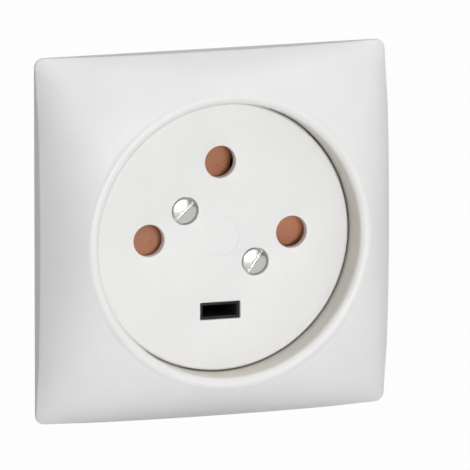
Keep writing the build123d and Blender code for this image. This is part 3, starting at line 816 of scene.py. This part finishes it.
class SOCKET_OT_shutter(bpy.types.Operator):
    """Finish the shutter and add the ridge and the pips that show in the pin holes"""

    bl_idname = "socket.shutter"
    bl_label = "Shutter"

    def execute(self, context):
        marks = build_shutter_marks(context.scene.socket_shutter, context.scene.socket_disc.circle)
        shutter = join([refined("shutter", 0.1)] + marks, "shutter_finished")
        smooth(shutter, CREASES["refined"])
        dress(shutter, "shutter_plastic", "shutter", "shutter")
        return {"FINISHED"}


class SOCKET_OT_mechanism(bpy.types.Operator):
    """Finish the housings, the frame, the contacts and all small metal parts"""

    bl_idname = "socket.mechanism"
    bl_label = "Mechanism"

    def execute(self, context):
        slots = {part["node"]: part["material_slot"] for part in frame["record"]["subparts"]}
        bodies = frame["record"]["behaviour"]["bodies"]
        done = {"cover_plate", "front_disc", "face_screw_upper", "face_screw_lower", "shutter"}
        for body, nodes in bodies.items():
            for node in nodes:
                if node not in done:
                    dress(refined(node), slots[node], body, node)
        return {"FINISHED"}


def stage_material(name):
    """White surface that the camera sees as plain background."""
    surface = bpy.data.materials.new(name)
    surface.use_nodes = True
    tree = surface.node_tree
    tree.nodes.clear()
    output = tree.nodes.new("ShaderNodeOutputMaterial")
    mix = tree.nodes.new("ShaderNodeMixShader")
    rays = tree.nodes.new("ShaderNodeLightPath")
    matte = tree.nodes.new("ShaderNodeBsdfDiffuse")
    matte.inputs["Color"].default_value = STAGE_COLOUR
    plain = tree.nodes.new("ShaderNodeEmission")
    plain.inputs["Color"].default_value = BACKGROUND_COLOUR
    link(tree, rays, "Is Camera Ray", mix, 0)
    tree.links.new(matte.outputs[0], mix.inputs[1])
    tree.links.new(plain.outputs[0], mix.inputs[2])
    tree.links.new(mix.outputs[0], output.inputs[0])
    return surface


def add_light(name, spot, size, power):
    """Soft square light that faces the socket."""
    light = bpy.data.lights.new(name, "AREA")
    light.size = size
    light.energy = power
    holder = bpy.data.objects.new(name, light)
    holder.location = spot
    holder.rotation_euler = (-Vector(spot)).to_track_quat("-Z", "Y").to_euler()
    bpy.context.scene.collection.objects.link(holder)


def light_from_above(scene, strength):
    """World light that is full overhead and fades to nothing at the horizon."""
    world = bpy.data.worlds.new("studio")
    scene.world = world
    world.use_nodes = True
    tree = world.node_tree
    background = tree.nodes["Background"]
    background.inputs["Strength"].default_value = strength
    where = tree.nodes.new("ShaderNodeTexCoord")
    parts = tree.nodes.new("ShaderNodeSeparateXYZ")
    above = tree.nodes.new("ShaderNodeMath")
    above.operation = "MAXIMUM"
    above.inputs[1].default_value = 0.0
    link(tree, where, "Generated", parts, "Vector")
    link(tree, parts, "Z", above, 0)
    link(tree, above, "Value", background, "Color")


class SOCKET_OT_stage(bpy.types.Operator):
    """Build the floor, the backdrop, the lights, the world and the camera"""

    bl_idname = "socket.stage"
    bl_label = "Stage"

    def execute(self, context):
        scene = context.scene
        sizes = scene.socket_studio
        low = -sizes.floor * MM
        half, tall = ROOM_HALF, BACKDROP_HEIGHT
        square = ((-half, -half), (half, -half), (half, half), (-half, half))
        floor = mesh_from("floor", [Vector((x, y, low)) for x, y in square], [(0, 1, 2, 3)])
        upright = ((-half, 0), (half, 0), (half, tall), (-half, tall))
        corners = [Vector((x, BACKDROP_DISTANCE, low + z)) for x, z in upright]
        backdrop = mesh_from("backdrop", corners, [(0, 1, 2, 3)])
        for piece in (floor, backdrop):
            piece.data.materials.append(stage_material(piece.name + "_surface"))
        for light in LIGHTS:
            add_light(*light)
        light_from_above(scene, SKY_STRENGTH)
        camera = bpy.data.cameras.new("camera")
        camera.lens = sizes.lens
        camera.sensor_width = 36.0
        camera.shift_x = sizes.shift_x
        camera.shift_y = sizes.shift_y
        camera.clip_end = 50.0
        holder = bpy.data.objects.new("camera", camera)
        azimuth, elevation = math.radians(-sizes.azimuth), math.radians(sizes.elevation)
        away = Vector(
            (
                math.sin(azimuth) * math.cos(elevation),
                -math.cos(azimuth) * math.cos(elevation),
                math.sin(elevation),
            )
        )
        turn = (-away).to_track_quat("-Z", "Y").to_matrix()
        holder.matrix_world = Matrix.Translation(away * sizes.distance) @ turn.to_4x4()
        scene.collection.objects.link(holder)
        scene.camera = holder
        scene.view_settings.view_transform = "Standard"
        return {"FINISHED"}


class SOCKET_PT_panel(bpy.types.Panel):
    """Buttons for every group of pieces and for the stage"""

    bl_idname = "SOCKET_PT_panel"
    bl_label = "Wall socket"
    bl_space_type = "VIEW_3D"
    bl_region_type = "UI"
    bl_category = "Wall socket"

    def draw(self, context):
        for operator in OPERATORS:
            self.layout.operator(operator.bl_idname)


SETTINGS = {
    "socket_plate": PlateSettings,
    "socket_disc": DiscSettings,
    "socket_screws": ScrewSettings,
    "socket_shutter": ShutterSettings,
    "socket_studio": StudioSettings,
}
OPERATORS = (
    SOCKET_OT_cover_plate,
    SOCKET_OT_front_disc,
    SOCKET_OT_face_screws,
    SOCKET_OT_shutter,
    SOCKET_OT_mechanism,
    SOCKET_OT_stage,
)


def register():
    """Register the settings, the operators and the panel."""
    for name, group in SETTINGS.items():
        bpy.utils.register_class(group)
        setattr(bpy.types.Scene, name, PointerProperty(type=group))
    for operator in OPERATORS:
        bpy.utils.register_class(operator)
    bpy.utils.register_class(SOCKET_PT_panel)


def unregister():
    """Remove what register added."""
    bpy.utils.unregister_class(SOCKET_PT_panel)
    for operator in reversed(OPERATORS):
        bpy.utils.unregister_class(operator)
    for name, group in SETTINGS.items():
        delattr(bpy.types.Scene, name)
        bpy.utils.unregister_class(group)


def main():
    """Build everything."""
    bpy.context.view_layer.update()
    register()
    bpy.ops.socket.cover_plate()
    bpy.ops.socket.front_disc()
    bpy.ops.socket.face_screws()
    bpy.ops.socket.shutter()
    bpy.ops.socket.mechanism()
    bpy.ops.socket.stage()


if __name__ == "__main__":
    main()
